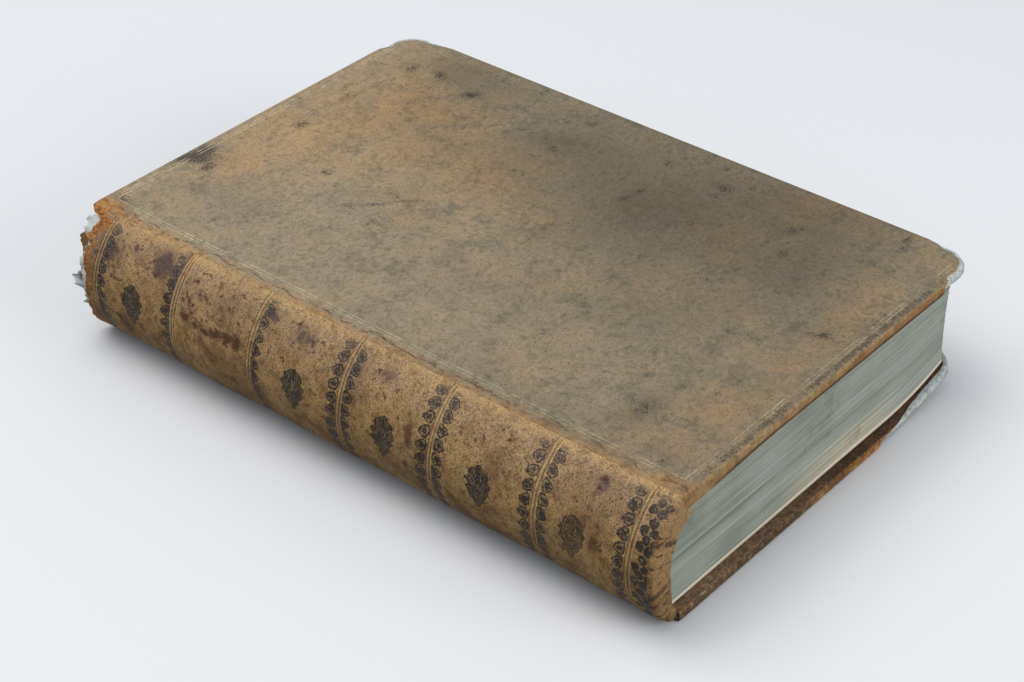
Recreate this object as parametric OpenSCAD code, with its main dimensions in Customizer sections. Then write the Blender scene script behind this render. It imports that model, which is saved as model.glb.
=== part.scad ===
// Old leather-bound hardback, closed and lying on its back cover.
// Inside the modules X runs from the joint to the fore-edge, Y from tail to head, Z up.

/* [Book] */
// Height of the boards from tail to head
board_h = 235; // [180:1:280]
// Width of the boards from the joint to the fore-edge
board_w = 151; // [110:1:190]
// Thickness of the leaves with both fly leaves
block_t = 36.2; // [24:0.2:48]
// Overhang of the boards at head and tail
square_end = 3.4; // [3.2:0.1:6]
// Overhang of the boards at the fore-edge
square_fore = 8.9; // [3:0.1:12]
// Depth of the hollow in the fore-edge of the leaves
fore_hollow = 1; // [0.5:0.1:4]

/* [Boards] */
// Thickness of the pasteboard
board_t = 2.7; // [2:0.1:4]
// Radius of the worn fore-edge corners
corner_r = 10; // [5:0.5:14]
// Width of the stretch of the back board that curls up
warp_w = 41; // [20:1:60]
// Height that the curl reaches at the fore-edge
warp_rise = 8; // [1:0.5:10]

/* [Leather] */
// Thickness of the leather on the boards
leather_t = 0.8; // [0.5:0.1:1.2]
// Thickness of the leather on the spine
spine_leather_t = 1; // [0.8:0.1:1.4]
// Thickness of the pared leather that is turned in
turn_in_t = 0.5; // [0.3:0.1:0.6]
// Width of the leather turned in over the boards
turn_in_w = 14; // [10:1:20]
// Leather lost around the fore-edge corners of the front board
corner_wear = 2.4; // [1:0.2:4]
// Depth of the strip of leather lost along the tail of the back board
bare_strip_w = 1.8; // [1:0.1:3]
// Length of that lost strip, from the fore-edge
bare_strip_l = 48; // [20:1:80]

/* [Paper] */
// Thickness of the paper pasted down on the boards
pastedown_t = 0.2; // [0.1:0.05:0.3]
// Turned-in leather left showing around the pasted paper
pastedown_margin = 4; // [2:0.5:7]
// Thickness of a fly leaf
flyleaf_t = 0.2; // [0.1:0.05:0.3]

/* [Spine] */
// How far the spine stands out behind the joints
spine_bulge = 13.5; // [9:0.5:16]
// Thickness of the paper liner glued inside the spine leather
liner_t = 0.6; // [0.4:0.1:0.9]
// Thickness of the lining glued to the backs of the leaves
lining_t = 0.4; // [0.3:0.1:0.6]
// Hollow between liner and lining
hollow_gap = 0.7; // [0.7:0.1:0.9]
// Depth of the leather cap folded over the tail of the spine
cap_depth = 8.6; // [6:0.2:10]
// Thickness of that cap along the spine
cap_h = 2.9; // [2:0.1:3]
// Radius of the fold at the outside of the cap
cap_fold_r = 1.8; // [1:0.1:2]
// Leather turned in behind the liner at the tail
cap_turn_in = 12; // [8:1:20]

/* [Sewing] */
// Number of cords sunk into the backs of the leaves
cord_n = 5; // [3:1:6]
// Diameter of a cord
cord_d = 1.8; // [1.2:0.1:2.2]
// Distance of the end cords from head and tail of the leaves
cord_end = 22; // [15:1:30]
// Length of a cord end laced into a board
slip_l = 14; // [8:1:20]
// Width of a cord end hammered flat
slip_w = 5; // [3:0.5:8]
// Thickness of a cord end hammered flat
slip_t = 0.6; // [0.4:0.1:0.8]

/* [Tooling] */
// Depth of the blind tooling
tool_depth = 0.2; // [0.1:0.05:0.3]
// Number of tooled bands between the head and tail rolls
band_n = 5; // [3:1:6]
// Place of the first band above the tail edge
band_first = 42.4; // [38:0.2:48]
// Width of the panel between the last band and the head roll
head_panel = 30.9; // [26:0.1:34]
// Distance of the head roll below the head edge
head_roll = 15.5; // [14:0.5:18]
// Place of the tail fillets above the tail edge
tail_fillets = 9; // [8:0.2:11]
// Distance of a row of beads from the fillets beside it
row_offset = 3.1; // [2.6:0.1:3.6]
// Length of a bead of the roll
bead_l = 3.2; // [2:0.1:3.6]
// Spacing of the beads round the spine
bead_pitch = 4.5; // [4.2:0.1:6]
// Width of a fillet line
fillet_w = 0.5; // [0.3:0.1:0.6]
// Spacing of the two lines of a fillet
fillet_gap = 1.2; // [1:0.1:1.4]
// Length of a fleuron round the spine
fleuron_l = 17; // [12:0.5:22]
// Width of a fleuron along the spine
fleuron_w = 8.4; // [6:0.2:10]
// Place of a fleuron above the middle of its panel
fleuron_shift = 1.4; // [0:0.2:3]

/* [Fits] */
// Gap between the covers and the leaves
open_gap = 0.3; // [0.2:0.05:0.5]
// Gap between the spine and the edge of a board
joint_gap = 0.4; // [0.4:0.05:0.8]
// Layer of paste between curved pieces
paste_gap = 0.05; // [0.02:0.01:0.1]

/* [Hidden] */
$fn = 96;
eps = 0.01;
far = 60;

// Depths of the layers of a cover, counted from its outer face
board_in = leather_t + board_t;
turn_in = board_in + turn_in_t;
cover_t = turn_in + pastedown_t;

// Heights of the closed book
book_t = block_t + 2 * (cover_t + open_gap);
block_z0 = cover_t + open_gap;
block_z1 = block_z0 + block_t;
mid_z = book_t / 2;
leaf_h = board_h - 2 * square_end;
leaf_w = board_w - square_fore;

// The round of the spine: one circle through both joints
spine_r = (mid_z * mid_z + spine_bulge * spine_bulge) / (2 * spine_bulge);
spine_x = spine_r - spine_bulge;
liner_r = spine_r - spine_leather_t - paste_gap;
fold_r = liner_r - liner_t - paste_gap;
lining_r = liner_r - liner_t - hollow_gap - paste_gap;
back_r = lining_r - lining_t - paste_gap;
shell_angle = asin((mid_z - open_gap) / spine_r);
inner_angle = shell_angle - 6;
keep_x = joint_gap - open_gap;

// The curl of the back cover: an arc that starts level
warp_x = board_w - warp_w;
warp_r = (warp_w * warp_w + warp_rise * warp_rise) / (2 * warp_rise);
warp_steps = 10;

// Middles of the sewing cords and depth of their kerfs
cord_pitch = (leaf_h - 2 * cord_end) / (cord_n - 1);
cord_ys = [for (i = [0:cord_n - 1]) square_end + cord_end + i * cord_pitch];
kerf_d = cord_d + 0.2;
slip_x = joint_gap + 2;

// Tooled bands from tail to head, and the fleurons between them
band_pitch = (board_h - head_roll - head_panel - band_first) / (band_n - 1);
band_ys = [for (i = [0:band_n - 1]) band_first + i * band_pitch];
head_band = board_h - head_roll;
stops = concat([tail_fillets], band_ys, [head_band]);
title_panel = band_n - 1;
tool_angle = shell_angle - 4;
bead_step = bead_pitch / spine_r * 180 / PI;
bead_n = floor(tool_angle / bead_step);
cap_lip_r = cap_h / 2;

// Torn head of the spine leather: share of the thickness, distance below the head edge
head_tear = [[0, 4], [0.08, 4.4], [0.15, 3.9], [0.2, 6], [0.27, 6.6], [0.33, 8], [0.4, 7.4],
    [0.47, 8.2], [0.55, 7.7], [0.6, 8.6], [0.68, 7], [0.74, 6.4], [0.8, 7.2], [0.86, 5.2],
    [0.93, 5.8], [1, 4.6]];
// Ragged head of the paper liner that the tear shows
liner_tear = [[0, 3.4], [0.2, 3.8], [0.3, 6.2], [0.42, 4], [0.5, 2.8], [0.58, 5.4], [0.66, 3.6],
    [0.78, 5], [0.9, 3.6], [1, 4]];

function lift(x) = x <= warp_x ? 0 : warp_r - sqrt(warp_r * warp_r - (x - warp_x) * (x - warp_x));

function curl_xs(x0, x1) = concat([x0],
    [for (i = [0:warp_steps]) let(x = warp_x + i * warp_w / warp_steps) if (x > x0 && x < x1) x],
    [x1]);

// Moves a piece from the joint and the tail edge to the middle of the book's footprint
module placed() {
    translate([-(board_w - spine_bulge) / 2, -board_h / 2, 0])
        children();
}

// Extrudes an outline drawn in X and Z along the book, from y0 to y1
module along(y0, y1) {
    translate([0, y1, 0])
        rotate([90, 0, 0])
            linear_extrude(height = y1 - y0)
                children();
}

// Turns a section of radius and height about the axis of the spine's round
module round_spine(half_angle) {
    translate([spine_x, 0, mid_z])
        rotate([-90, 0, 0])
            rotate([0, 0, 180 - half_angle])
                rotate_extrude(angle = 2 * half_angle)
                    children();
}

// Ring of the spine's round between two radii and two places along the book
module spine_shell(r_in, r_out, y0, y1, half_angle) {
    round_spine(half_angle)
        translate([r_in, y0])
            square([r_out - r_in, y1 - y0]);
}

// Sets an outline on the outside of the spine, sunk to the tooling's depth
module tooled(y, angle) {
    translate([spine_x, 0, mid_z])
        rotate([0, angle, 0])
            translate([-spine_r, y, 0])
                rotate([0, -90, 0])
                    translate([0, 0, -tool_depth])
                        linear_extrude(height = 2)
                            children();
}

// Cuts the head of a spine piece along a torn line
module torn(line) {
    difference() {
        children();
        translate([-spine_bulge - 5, 0, 0])
            rotate([90, 0, 90])
                linear_extrude(height = spine_bulge + 15)
                    polygon(concat([for (p = line) [board_h - p[1], p[0] * book_t]],
                        [[board_h - line[len(line) - 1][1], far + book_t], [board_h + far, far + book_t],
                            [board_h + far, -far], [board_h - line[0][1], -far]]));
    }
}

// Outline of a cover, drawn in by a margin on the three edges that are free
module cover_outline(margin) {
    r = max(corner_r - margin, 1);
    x1 = board_w - margin;
    y1 = board_h - margin;
    translate([joint_gap, margin])
        square([x1 - r - joint_gap, y1 - margin]);
    translate([x1 - r - 1, margin + r])
        square([r + 1, y1 - margin - 2 * r]);
    for (y = [margin + r, y1 - r])
        translate([x1 - r, y])
            circle(r);
}

// Inner part of a cover that the turned-in leather leaves free, open at the joint
module window_outline(margin) {
    w = turn_in_w + margin;
    translate([joint_gap - 1, w])
        square([board_w - w - joint_gap + 1, board_h - 2 * w]);
}

// Layer of the front cover between two depths below its outer face
module front_layer(d0, d1) {
    translate([0, 0, book_t - d1])
        linear_extrude(height = d1 - d0)
            children();
}

// Curled sheet of the back cover between two depths above its outer face
module back_sheet(d0, d1) {
    xs = curl_xs(-1, board_w + eps);
    along(-1, board_h + 1)
        polygon(concat([for (x = xs) [x, d0 + lift(x)]],
            [for (i = [len(xs) - 1:-1:0]) [xs[i], d1 + lift(xs[i])]]));
}

// Layer of the back cover between two depths above its outer face
module back_layer(d0, d1) {
    intersection() {
        back_sheet(d0, d1);
        translate([0, 0, -1])
            linear_extrude(height = far)
                children();
    }
}

// Area round both fore-edge corners that wear has laid bare
module corner_loss() {
    r = corner_r;
    for (y = [0, board_h - r])
        difference() {
            translate([board_w - r, y])
                square([r + 1, r]);
            translate([board_w - r, y == 0 ? r : board_h - r])
                circle(r - corner_wear);
        }
    for (y = [-1, board_h])
        translate([board_w - r, y])
            square([r + 1, 1]);
}

module slip_outlines(grow) {
    for (y = cord_ys)
        translate([slip_x - grow, y - slip_w / 2 - grow])
            square([slip_l + 2 * grow, slip_w + 2 * grow]);
}

// Outline of the leaves seen from the tail, between two heights of the block
module leaf_section(z0, z1) {
    xs = curl_xs(keep_x, leaf_w);
    polygon(concat([for (x = xs) [x, z0 + lift(x)]], [[leaf_w, z1], [keep_x, z1]]));
}

// Leaves as one solid: rounded and backed, with kerfs for the cords
module text_block() {
    color("#b9bda6")
        placed()
            difference() {
                union() {
                    along(square_end, square_end + leaf_h)
                        leaf_section(block_z0 + flyleaf_t, block_z1 - flyleaf_t);
                    intersection() {
                        along(square_end, square_end + leaf_h)
                            translate([-spine_bulge, 0])
                                square([spine_bulge + keep_x, book_t]);
                        translate([spine_x, 0, mid_z])
                            rotate([-90, 0, 0])
                                cylinder(r = back_r, h = board_h);
                    }
                }
                fore_edge_hollow();
                for (y = cord_ys)
                    spine_shell(back_r - kerf_d, back_r + 1, y - kerf_d / 2, y + kerf_d / 2, 90);
            }
}

// Shallow hollow that the rounded back leaves in the fore-edge
module fore_edge_hollow() {
    span = block_t - lift(leaf_w);
    r = (span * span / 4 + fore_hollow * fore_hollow) / (2 * fore_hollow);
    translate([leaf_w - fore_hollow + r, 0, block_z1 - span / 2])
        rotate([-90, 0, 0])
            cylinder(r = r, h = board_h, $fn = 360);
}

module front_flyleaf() {
    color("#cdc7ad")
        placed()
            along(square_end, square_end + leaf_h)
                translate([keep_x + eps, block_z1 - flyleaf_t])
                    square([leaf_w - keep_x - eps, flyleaf_t]);
}

module back_flyleaf() {
    xs = curl_xs(keep_x + eps, leaf_w);
    color("#cdc7ad")
        placed()
            along(square_end, square_end + leaf_h)
                polygon(concat([for (x = xs) [x, block_z0 + lift(x)]],
                    [for (i = [len(xs) - 1:-1:0]) [xs[i], block_z0 + flyleaf_t + lift(xs[i])]]));
}

// Cords that the sections are sewn on, each sunk in its kerf
module sewing_cords() {
    color("#a08a5c")
        placed()
            for (y = cord_ys)
                round_spine(inner_angle - 6)
                    translate([back_r - kerf_d / 2, y])
                        circle(d = cord_d, $fn = 24);
}

// Cloth and paper glued to the backs of the leaves
module spine_lining() {
    color("#d8cfb4")
        placed()
            spine_shell(lining_r - lining_t, lining_r, square_end, square_end + leaf_h, inner_angle - 4);
}

// Paper liner glued inside the spine leather, its head laid bare by the tear
module spine_liner() {
    color("#e4dfcf")
        placed()
            torn(liner_tear)
                spine_shell(liner_r - liner_t, liner_r, cap_h + paste_gap, board_h, inner_angle);
}

// Section of the spine leather: wall, folded cap at the tail and leather turned in behind the liner
module spine_leather_section() {
    lip_x = spine_r - cap_depth + cap_lip_r;
    polygon(concat(
        [[spine_r, board_h]],
        [for (a = [0:-15:-90]) [spine_r - cap_fold_r + cap_fold_r * cos(a), cap_fold_r + cap_fold_r * sin(a)]],
        [for (a = [270:-20:90]) [lip_x + cap_lip_r * cos(a), cap_lip_r + cap_lip_r * sin(a)]],
        [[fold_r - turn_in_t, cap_h], [fold_r - turn_in_t, cap_h + cap_turn_in],
            [fold_r, cap_h + cap_turn_in], [fold_r, cap_h],
            [spine_r - spine_leather_t, cap_h], [spine_r - spine_leather_t, board_h]]));
}

// Outline of one fleuron: a lozenge with lobed sides
module fleuron_outline() {
    lobes = 4;
    steps = 32;
    polygon([for (i = [0:steps - 1])
        let(a = i * 360 / steps)
        let(side = 1 / (abs(cos(a)) + abs(sin(a))))
        let(lobe = 1 - 0.13 * (1 + cos(lobes * 2 * a + 180)) / 2)
            [fleuron_l / 2 * side * lobe * cos(a), fleuron_w / 2 * side * lobe * sin(a)]]);
}

// One row of beads round the spine
module bead_row(y, shift) {
    for (i = [-bead_n:bead_n])
        if (abs(i + shift) * bead_step < tool_angle)
            tooled(y, (i + shift) * bead_step)
                scale(bead_l / 2)
                    circle(1, $fn = 6);
}

// Two lines ruled round the spine
module double_fillet(y) {
    for (side = [-1, 1])
        spine_shell(spine_r - tool_depth, spine_r + 1, y + side * fillet_gap / 2 - fillet_w / 2,
            y + side * fillet_gap / 2 + fillet_w / 2, tool_angle);
}

module spine_tooling() {
    double_fillet(tail_fillets);
    bead_row(tail_fillets + row_offset, 0);
    bead_row(tail_fillets - row_offset, 0.5);
    for (i = [0:band_n - 1]) {
        double_fillet(band_ys[i]);
        bead_row(band_ys[i] + row_offset * (i == band_n - 2 ? -1 : 1), 0);
        if (i < band_n - 2)
            bead_row(band_ys[i] - row_offset, 0.5);
    }
    bead_row(head_band, 0);
    for (i = [0:len(stops) - 2])
        if (i != title_panel)
            tooled((stops[i] + stops[i + 1]) / 2 + fleuron_shift, 0)
                fleuron_outline();
}

// Spine leather with its tooling, folded cap at the tail and torn head
module spine_leather() {
    color("#a87a42")
        placed()
            torn(head_tear)
                difference() {
                    round_spine(shell_angle)
                        spine_leather_section();
                    spine_tooling();
                    for (z = [-far, book_t - block_z0])
                        translate([keep_x, -1, z])
                            cube([far, board_h, far + block_z0]);
                }
}

module front_board() {
    color("#8d9189")
        placed()
            difference() {
                front_layer(leather_t, board_in)
                    cover_outline(leather_t);
                front_layer(board_in - slip_t, board_in + 1)
                    slip_outlines(paste_gap);
            }
}

// Leather of the front cover, turned in over three edges and worn off the corners
module front_leather() {
    color("#8f7550")
        placed()
            difference() {
                front_layer(0, turn_in)
                    cover_outline(0);
                front_layer(leather_t, board_in)
                    cover_outline(leather_t);
                front_layer(board_in - eps, turn_in + 1)
                    window_outline(0);
                front_layer(leather_t - eps, board_in)
                    translate([-1, leather_t])
                        square([joint_gap + 1 + eps, board_h - 2 * leather_t]);
                front_layer(-1, turn_in + 1)
                    corner_loss();
            }
}

module front_cord_slips() {
    color("#a08a5c")
        placed()
            front_layer(board_in - slip_t, board_in)
                slip_outlines(0);
}

// Paper pasted over the board and the turned-in leather, so it steps down at the leather
module front_pastedown() {
    color("#cdc7ad")
        placed()
            difference() {
                front_layer(board_in, cover_t)
                    pastedown_outline();
                front_layer(board_in - 1, turn_in)
                    turned_in_outline();
                front_layer(board_in + pastedown_t, cover_t + 1)
                    window_outline(pastedown_t);
            }
}

module pastedown_outline() {
    translate([joint_gap, pastedown_margin])
        square([board_w - joint_gap - pastedown_margin - corner_r / 4, board_h - 2 * pastedown_margin]);
}

module turned_in_outline() {
    difference() {
        translate([-1, -1])
            square([board_w + 2, board_h + 2]);
        window_outline(0);
    }
}

module back_board() {
    color("#8d9189")
        placed()
            difference() {
                back_layer(leather_t, board_in)
                    cover_outline(leather_t);
                back_layer(board_in - slip_t, board_in + 1)
                    slip_outlines(paste_gap);
            }
}

// Leather of the back cover, lost along the tail edge near the fore-edge
module back_leather() {
    color("#8f7550")
        placed()
            difference() {
                back_layer(0, turn_in)
                    cover_outline(0);
                back_layer(leather_t, board_in)
                    cover_outline(leather_t);
                back_layer(board_in - eps, turn_in + 1)
                    window_outline(0);
                back_layer(leather_t - eps, board_in)
                    translate([-1, leather_t])
                        square([joint_gap + 1 + eps, board_h - 2 * leather_t]);
                back_layer(-1, board_in)
                    translate([board_w - bare_strip_l, -1])
                        square([bare_strip_l + 1, bare_strip_w + 1]);
                back_layer(-1, board_in)
                    corner_loss();
            }
}

module back_cord_slips() {
    color("#a08a5c")
        placed()
            back_layer(board_in - slip_t, board_in)
                slip_outlines(0);
}

module back_pastedown() {
    color("#cdc7ad")
        placed()
            difference() {
                back_layer(board_in, cover_t)
                    pastedown_outline();
                back_layer(board_in - 1, turn_in)
                    turned_in_outline();
                back_layer(board_in + pastedown_t, cover_t + 1)
                    window_outline(pastedown_t);
            }
}

text_block();
front_flyleaf();
back_flyleaf();
sewing_cords();
spine_lining();
spine_liner();
spine_leather();
front_board();
front_leather();
front_cord_slips();
front_pastedown();
back_board();
back_leather();
back_cord_slips();
back_pastedown();
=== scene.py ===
import bpy
import numpy as np
from mathutils import Matrix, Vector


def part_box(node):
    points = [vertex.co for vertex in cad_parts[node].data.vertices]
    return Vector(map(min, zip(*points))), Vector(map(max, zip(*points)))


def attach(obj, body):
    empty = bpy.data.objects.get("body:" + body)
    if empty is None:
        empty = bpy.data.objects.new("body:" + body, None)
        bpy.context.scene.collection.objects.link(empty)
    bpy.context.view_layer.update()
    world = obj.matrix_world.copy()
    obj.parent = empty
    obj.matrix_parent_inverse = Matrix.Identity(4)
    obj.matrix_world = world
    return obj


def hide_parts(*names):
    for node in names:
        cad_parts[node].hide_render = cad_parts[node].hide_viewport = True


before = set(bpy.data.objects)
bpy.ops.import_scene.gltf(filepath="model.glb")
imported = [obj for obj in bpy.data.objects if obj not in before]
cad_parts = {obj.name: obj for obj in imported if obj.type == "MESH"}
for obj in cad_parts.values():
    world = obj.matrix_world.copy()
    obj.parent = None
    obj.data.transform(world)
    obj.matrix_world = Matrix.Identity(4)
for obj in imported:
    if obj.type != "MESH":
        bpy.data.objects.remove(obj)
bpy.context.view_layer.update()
print("frame loaded:", ", ".join(sorted(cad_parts)))
rad = np.radians


def boxOf(node):
    # Lowest and highest corner of a solid, in millimetres
    return [np.array(corner) * 1000 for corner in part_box(node)]


coverLow, coverHigh = boxOf("front_leather")
leavesLow, leavesHigh = boxOf("text_block")

book = {
    "jointGap": 0.4,  # from the joint to the edge of a board
    "leather": 0.8,  # thickness on the boards
    "spineLeather": 1.0,
    "board": 2.7,
    "turnedIn": 0.5,  # pared leather inside the boards
    "turnIn": 14.0,  # its width
    "corner": 10.0,  # radius of the worn corners
    "curlWidth": 41.0,  # stretch of the back board that curls up
    "capDepth": 8.6,  # folded leather at the tail of the spine
    "capHigh": 2.9,
    "foldRadius": 1.8,
    "linerPaper": 0.6,
    "paste": 0.05,
}
shift = np.array([coverLow[0] - book["jointGap"], coverLow[1], 0.0])
high = coverHigh[1] - coverLow[1]
wide = coverHigh[0] - shift[0]
thick = coverHigh[2]
middle = thick / 2
bulge = shift[0] - boxOf("spine_leather")[0][0]
spineRound = (middle ** 2 + bulge ** 2) / (2 * bulge)  # radius of the spine
spineAxis = spineRound - bulge
coverDeep = book["leather"] + book["board"] + book["turnedIn"]
leavesWide = leavesHigh[0] - shift[0]
curlFrom = wide - book["curlWidth"]
curlHigh = boxOf("back_leather")[1][2] - coverDeep
curlRound = (book["curlWidth"] ** 2 + curlHigh ** 2) / (2 * curlHigh)


def curl(x):
    # Height of the curled back cover: an arc that starts level where the curl starts
    over = np.maximum(x - curlFrom, 0)
    return curlRound - np.sqrt(np.maximum(curlRound ** 2 - over ** 2, 1))


class Wire:
    # A number that changes over a surface: the output of a node
    __array_ufunc__ = None

    def __init__(self, paint, socket):
        self.paint, self.socket = paint, socket


# Arithmetic signs before or after a wire add Math nodes
for sign, operation in (("add", "ADD"), ("sub", "SUBTRACT"), ("mul", "MULTIPLY"), ("truediv", "DIVIDE")):
    setattr(Wire, f"__{sign}__", lambda a, b, act=operation: a.paint.math(act, a, b))
    setattr(Wire, f"__r{sign}__", lambda a, b, act=operation: a.paint.math(act, b, a))


def onBoth(operation, plain):
    # One step of a formula, which works on arrays for a mesh and on wires for a material
    def step(*values):
        wires = [value for value in values if isinstance(value, Wire)]
        return wires[0].paint.math(operation, *values) if wires else plain(*values)
    return step


least, most = onBoth("MINIMUM", np.minimum), onBoth("MAXIMUM", np.maximum)
size, whole = onBoth("ABSOLUTE", np.abs), onBoth("FLOOR", np.floor)
root, power = onBoth("SQRT", np.sqrt), onBoth("POWER", np.power)
sine = onBoth("SINE", np.sin)
beyond = onBoth("GREATER_THAN", lambda a, b: (a > b) * 1.0)  # 1 where a is greater than b, else 0


def ramp(value, start, end):
    # 0 at start, 1 at end, level at both
    if isinstance(value, Wire):
        return value.paint.node("MapRange", {"interpolation_type": "SMOOTHSTEP"},
                {"Value": value, "From Min": start, "From Max": end})
    part = np.clip((value - start) / (end - start), 0, 1)
    return part * part * (3 - 2 * part)


def pick(place, places, values):
    # The value of the nearest place: it steps half-way between neighbours
    found = values[0]
    for low, far, before, after in zip(places, places[1:], values, values[1:]):
        if after != before:
            found = found + (after - before) * beyond(place, (far + low) / 2)
    return found


def offMiddle(place, pitch):
    # Distance from the middle of a cell, in cells repeated at the pitch
    cell = place / pitch
    return (cell - whole(cell) - 0.5) * pitch


def waves(seed, length, *places):
    # Smooth random swell, about -1 to 1: eight sine waves near that length, in random directions
    draw = np.random.default_rng(seed)
    total = 0
    for _ in range(8):
        way = draw.normal(size=len(places))
        way *= 2 * np.pi / (length * draw.uniform(0.6, 1.6) * np.linalg.norm(way))
        total = total + np.sin(sum(w * p for w, p in zip(way, places)) + draw.uniform(0, 2 * np.pi))
    return total / 4


def spots(x, y, marks):
    # Sum of soft spots, each with x, y, half length, half width, strength and, if it lies aslant, its turn
    # in degrees. A spot fades as e to the minus square of the distance.
    total = 0
    for px, py, long, short, strength, *turn in marks:
        c, s = np.cos(rad(sum(turn))), np.sin(rad(sum(turn)))
        along = ((x - px) * c + (y - py) * s) / long
        across = ((y - py) * c - (x - px) * s) / short
        total = total + strength * np.exp(-(along ** 2 + across ** 2))
    return total


def skin(outer, inner, keep=None):
    # A sheet with thickness: the kept squares of the outer grid, those of the inner grid turned over,
    # and a wall wherever a kept square meets a lost one or the border
    rows, columns = outer.shape[:2]
    if keep is None:
        keep = np.ones((rows - 1, columns - 1), bool)
    top = np.arange(rows * columns).reshape(rows, columns)
    low = top + rows * columns
    faces = [np.stack([top[:-1, :-1], top[:-1, 1:], top[1:, 1:], top[1:, :-1]], -1)[keep],
            np.stack([low[:-1, :-1], low[1:, :-1], low[1:, 1:], low[:-1, 1:]], -1)[keep]]
    wide = np.pad(keep, 1)
    for before, after, a, b, c, d in (
            (wide[:-1, 1:-1], wide[1:, 1:-1], top[:, :-1], top[:, 1:], low[:, 1:], low[:, :-1]),
            (wide[1:-1, 1:], wide[1:-1, :-1], top[:-1], top[1:], low[1:], low[:-1])):
        faces.append(np.stack([b, a, d, c], -1)[after & ~before])
        faces.append(np.stack([a, b, c, d], -1)[before & ~after])
    return np.concatenate([outer.reshape(-1, 3), inner.reshape(-1, 3)]), np.concatenate(faces)


def makePiece(name, points, faces, fields, body, slot, node, crease=50):
    # Puts the arrays into a mesh in metres, facing outwards, with an attribute for each field. A field of
    # a skin's outer face serves its inner face too.
    used = np.unique(faces)
    renumber = np.zeros(len(points), int)
    renumber[used] = np.arange(len(used))
    faces = renumber[faces]
    values = {field: np.resize(value, len(points))[used] for field, value in fields.items()}
    points = (points[used] + shift) * 0.001
    a, b, c, d = (points[faces[:, k]] for k in range(4))
    if np.sum(a * np.cross(b, c)) + np.sum(a * np.cross(c, d)) < 0:  # six times the volume
        faces = faces[:, ::-1]
    mesh = bpy.data.meshes.new(name)
    mesh.from_pydata(points.tolist(), [], faces.tolist(), shade_flat=False)
    mesh.set_sharp_from_angle(angle=rad(crease))
    for field, value in values.items():
        mesh.attributes.new(field, "FLOAT", "POINT").data.foreach_set("value", value.astype(np.float32))
    piece = bpy.data.objects.new(name, mesh)
    bpy.context.scene.collection.objects.link(piece)
    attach(piece, body)
    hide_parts(node)
    print(name, "has", len(faces) * 2, "triangles")
    return piece


def spread(*stops):
    # Places along one direction: each stop is a place and the spacing up to the next one
    parts = [np.linspace(low, far, max(2, int(round((far - low) / step)) + 1))[:-1]
            for (low, step), (far, _) in zip(stops, stops[1:])]
    return np.concatenate(parts + [[stops[-1][0]]])


coverFold = {
    "flat": 6.0,  # where the fold's path starts, in from the edge
    "arris": 1.2,  # radius of the leather over the board's outer edge
    "innerArris": 0.5,  # and over its inner edge
    "tuck": 0.05,
    "shoulder": 2.4,  # width over which the leather dips to the joint
    "dip": 0.42,
    "swell": 0.12,  # slow waves of the old boards
    "loose": 1.5,  # drop of the turned-in leather at the tail of the joint
    "sink": 1.25,  # how far lost leather goes under the board's surface, where it is cut away
    "wornOff": 3.2,  # from the tail fore-edge corner of the back cover
    "thinned": 0.4,  # worn off the leather beside the lost part
}


def foldPath():
    # Path of the leather over a board's edge: flat, quarter round, drop, quarter round, flat. Gives the
    # stretch from the edge, then the way in and the depth of the outer and the inner face.
    flat, r, inR, gap = (coverFold[key] for key in ("flat", "arris", "innerArris", "tuck"))
    t, far, board = book["leather"], book["turnIn"], coverDeep - book["turnedIn"]
    turn = rad(np.linspace(0, 90, 7))
    s, c = np.sin(turn), np.cos(turn)
    ways = [np.r_[flat, r - r * s, inR - inR * c, far], np.r_[flat, r - (r - t) * s, t + gap * s, far]]
    depths = [np.r_[0, r - r * c, coverDeep - inR + inR * s, coverDeep],
            np.r_[t, r - (r - t) * c, board - gap + gap * s, board]]
    steps = np.hypot(np.diff(ways[0]), np.diff(depths[0]))
    return np.r_[0, np.cumsum(steps)] - flat, ways, depths


def roundedSheet(x, y, stretch, inward):
    # Places of a rectangle with round fore-edge corners. Beyond the edge, stretch says how far
    # along the fold a point lies and inward how far in from the edge that is.
    r = book["corner"]
    x1, y0, y1 = wide - r, r, high - r
    a = most(x - x1, 0) / r
    b = np.where(y > y1, (y - y1) / r, np.where(y < y0, (y - y0) / r, 0))
    m = most(a, size(b))
    length = most(np.hypot(a, b), 1e-9)
    away = (m - 1) * r
    w = np.where(m > 0, np.where(away > -coverFold["flat"], np.interp(away, stretch, inward), -away), r)
    over = most(w - r, 0)
    coreX = np.where(a > 0, x1 - over, x)
    half = (y1 - y0) / 2
    coreY = high / 2 + (np.clip(y, y0, y1) - high / 2) * (half - over) / half
    reach = np.where(m > 0, most(r - w, 0), 0)
    return coreX + reach * a / length, coreY + reach * b / length, away


def wornCorner(x, y):
    # How far the tail fore-edge corner of the back cover is worn back
    return coverFold["wornOff"] * ramp(x, wide - 16, wide) * ramp(y, 34, 10)


def looseCorner(x, y):
    # How far the turned-in leather hangs down: most at the tail of the joint
    return coverFold["loose"] * ramp(x, 45, 6) * ramp(y, 3.2, 0.3)


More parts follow.
